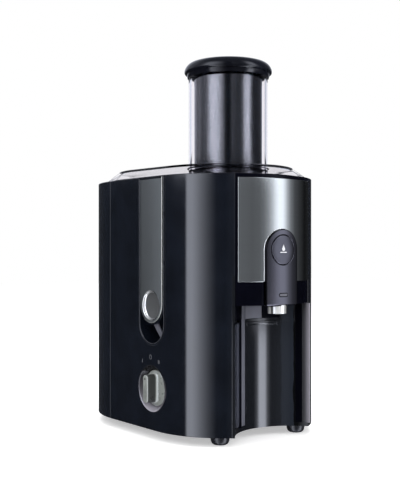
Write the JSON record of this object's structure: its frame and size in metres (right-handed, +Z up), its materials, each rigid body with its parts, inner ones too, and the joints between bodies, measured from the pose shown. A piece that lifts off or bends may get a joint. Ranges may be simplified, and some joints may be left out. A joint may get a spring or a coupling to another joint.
{
  "type": "centrifugal juicer",
  "caption": "Upright centrifugal juicer: motor housing with a jug bay, clear lid with a wide feed tube and pusher, sieve basket, side latches, spout button, rotary knob and rear pulp container.",
  "frame": {"origin": "under the feed tube's axis, on the plane that the feet stand on", "axes": "+Z up along the feed tube, +Y to the back, towards the pulp container, +X to the right, away from the knob"},
  "size_m": [0.2112, 0.2955, 0.43],
  "materials": {
    "gloss_black": "gloss moulded plastic",
    "satin_black": "satin moulded plastic",
    "dark_plastic": "matt moulded plastic",
    "spout_grey": "satin dark grey plastic",
    "bezel_grey": "satin silver-grey paint",
    "mark_grey": "printed grey",
    "rubber": "soft rubber",
    "screw_steel": "plain steel",
    "brushed_panel": "vertically lit brushed steel sheet",
    "sieve_steel": "bright steel mesh",
    "satin_silver": "satin silver",
    "bright_chrome": "polished",
    "cast_aluminium": "die cast",
    "core_iron": "varnished sheet iron",
    "copper_wire": "varnished copper wire",
    "board_green": "solder mask",
    "clear_plastic": "clear moulded plastic"
  },
  "bodies": {
    "housing": {"motor_housing": "gloss_black", "bay_wall": "gloss_black", "latch_pocket_left": "gloss_black", "latch_pocket_right": "gloss_black", "base_plate": "dark_plastic", "rubber_feet": "rubber", "deck_plate": "dark_plastic", "base_screws": "screw_steel", "cord_gland": "rubber", "upper_bracket": "cast_aluminium", "lower_bracket": "cast_aluminium", "upper_bearing": "screw_steel", "lower_bearing": "screw_steel", "stator_stack": "core_iron", "stator_windings": "copper_wire", "carbon_brushes": "dark_plastic", "motor_screws": "screw_steel", "mounting_bushes": "rubber", "shaft_seal": "rubber", "speed_switch": "dark_plastic", "control_board": "board_green", "interlock_switch": "dark_plastic", "knob_bezel": "bezel_grey", "latch_pins": "screw_steel", "latch_springs": "screw_steel"},
    "rotor": {"motor_shaft": "screw_steel", "rotor_core": "core_iron", "commutator": "copper_wire", "cooling_fan": "dark_plastic", "drive_coupling": "dark_plastic"},
    "collector": {"juice_collector": "satin_black", "collector_nose": "satin_black", "panel_carrier": "gloss_black", "front_panel": "brushed_panel", "spout_block": "spout_grey", "outlet_tube": "bright_chrome", "spout_mark": "mark_grey", "button_spring": "screw_steel"},
    "button": {"spout_button": "spout_grey", "valve_slide": "dark_plastic"},
    "lid": {"lid_shell": "clear_plastic", "feed_tube": "clear_plastic", "tube_collar": "rubber"},
    "pusher": {"pusher_body": "gloss_black", "pusher_cap": "gloss_black", "pusher_ring": "dark_plastic"},
    "basket": {"sieve_basket": "sieve_steel", "grater_disc": "sieve_steel", "basket_hub": "dark_plastic"},
    "latch_left": {"latch_arm_left": "gloss_black", "latch_skin_left": "brushed_panel", "latch_pad_left": "satin_silver"},
    "latch_right": {"latch_arm_right": "gloss_black", "latch_skin_right": "brushed_panel", "latch_pad_right": "satin_silver"},
    "selector": {"knob": "satin_silver", "knob_shaft": "screw_steel"},
    "container": {"pulp_container": "gloss_black"}
  },
  "joints": [
    {"name": "rotor_spin", "type": "hinge", "parent": "housing", "child": "rotor", "pos_m": [0, 0, 0.1], "axis": [0, 0, 1], "continuous": true},
    {"name": "collector_lift", "type": "slide", "parent": "housing", "child": "collector", "axis": [0, 0, 1], "range_m": [0, 0.15]},
    {"name": "basket_spin", "type": "hinge", "parent": "collector", "child": "basket", "pos_m": [0, 0, 0.21], "axis": [0, 0, 1], "continuous": true},
    {"name": "lid_lift", "type": "slide", "parent": "collector", "child": "lid", "axis": [0, 0, 1], "range_m": [0, 0.12]},
    {"name": "pusher_lift", "type": "slide", "parent": "lid", "child": "pusher", "axis": [0, 0, 1], "range_m": [0, 0.185]},
    {"name": "button_press", "type": "slide", "parent": "collector", "child": "button", "axis": [0, 1, 0], "range_m": [0, 0.003], "stiffness_N_per_m": 400, "springref_m": -0.002},
    {"name": "latch_left_hinge", "type": "hinge", "parent": "housing", "child": "latch_left", "pos_m": [-0.0956, 0.0123, 0.196], "axis": [0, -1, 0], "range_deg": [0, 10], "stiffness_Nm_per_rad": 0.3, "springref_deg": -11.46},
    {"name": "latch_right_hinge", "type": "hinge", "parent": "housing", "child": "latch_right", "pos_m": [0.0956, 0.0123, 0.196], "axis": [0, 1, 0], "range_deg": [0, 10], "stiffness_Nm_per_rad": 0.3, "springref_deg": -11.46},
    {"name": "knob_turn", "type": "hinge", "parent": "housing", "child": "selector", "pos_m": [-0.095, 0.0123, 0.0565], "axis": [-1, 0, 0], "range_deg": [-30, 30]},
    {"name": "container_slide", "type": "slide", "parent": "housing", "child": "container", "axis": [0, 1, 0], "range_m": [0, 0.14]}
  ],
  "couplings": [
    {"joint": "basket_spin", "follows": "rotor_spin", "ratio": 1}
  ]
}
